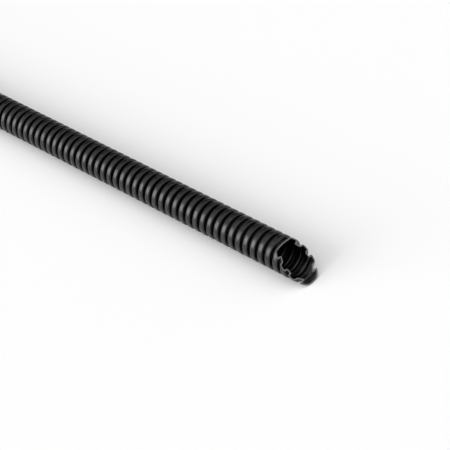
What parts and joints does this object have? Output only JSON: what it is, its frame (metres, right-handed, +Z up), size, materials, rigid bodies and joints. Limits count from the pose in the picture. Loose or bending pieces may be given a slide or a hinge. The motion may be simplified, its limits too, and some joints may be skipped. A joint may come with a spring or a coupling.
{
  "type": "flexible conduit",
  "caption": "Straight length of black corrugated flexible plastic conduit with flat-topped ribs, cut square at one end and on a slant at the other, for carrying cables.",
  "frame": {"origin": "under the middle of the conduit's length, on the surface that it lies on", "axes": "+X along the conduit from its square end to its slanted end, +Z up, with the long side of the slanted end straight down"},
  "size_m": [1, 0.02, 0.02],
  "materials": {
    "black_plastic": "satin black moulded polypropylene, with a paler, duller face where it was cut"
  },
  "bodies": {
    "root": {"conduit": "black_plastic"}
  },
  "joints": []
}
